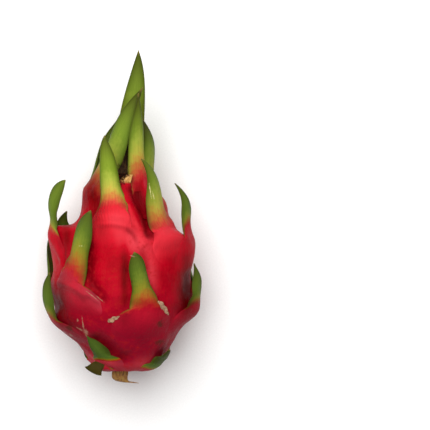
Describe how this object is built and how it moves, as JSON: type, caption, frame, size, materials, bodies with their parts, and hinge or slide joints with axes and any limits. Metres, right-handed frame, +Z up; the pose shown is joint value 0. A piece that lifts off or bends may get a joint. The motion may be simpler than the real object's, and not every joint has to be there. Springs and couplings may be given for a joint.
{
  "type": "dragon fruit",
  "caption": "Whole red dragon fruit lying on its side, with broad leathery scales that run out into green bracts, a crown of long bracts round a withered flower, and a short stem stub.",
  "frame": {"origin": "middle of the small flat spot that the fruit lies on", "axes": "+Z up, +Y along the fruit from the stem to the crown"},
  "size_m": [0.1033, 0.2169, 0.0947],
  "materials": {
    "skin": "satin, waxy fresh skin, red on the body and green on the bracts",
    "dry_flower": "matt, dry and fibrous",
    "stem": "matt, dry and cracked"
  },
  "bodies": {
    "root": {"fruit": "skin", "withered_flower": "dry_flower", "stem_stub": "stem"}
  },
  "joints": []
}
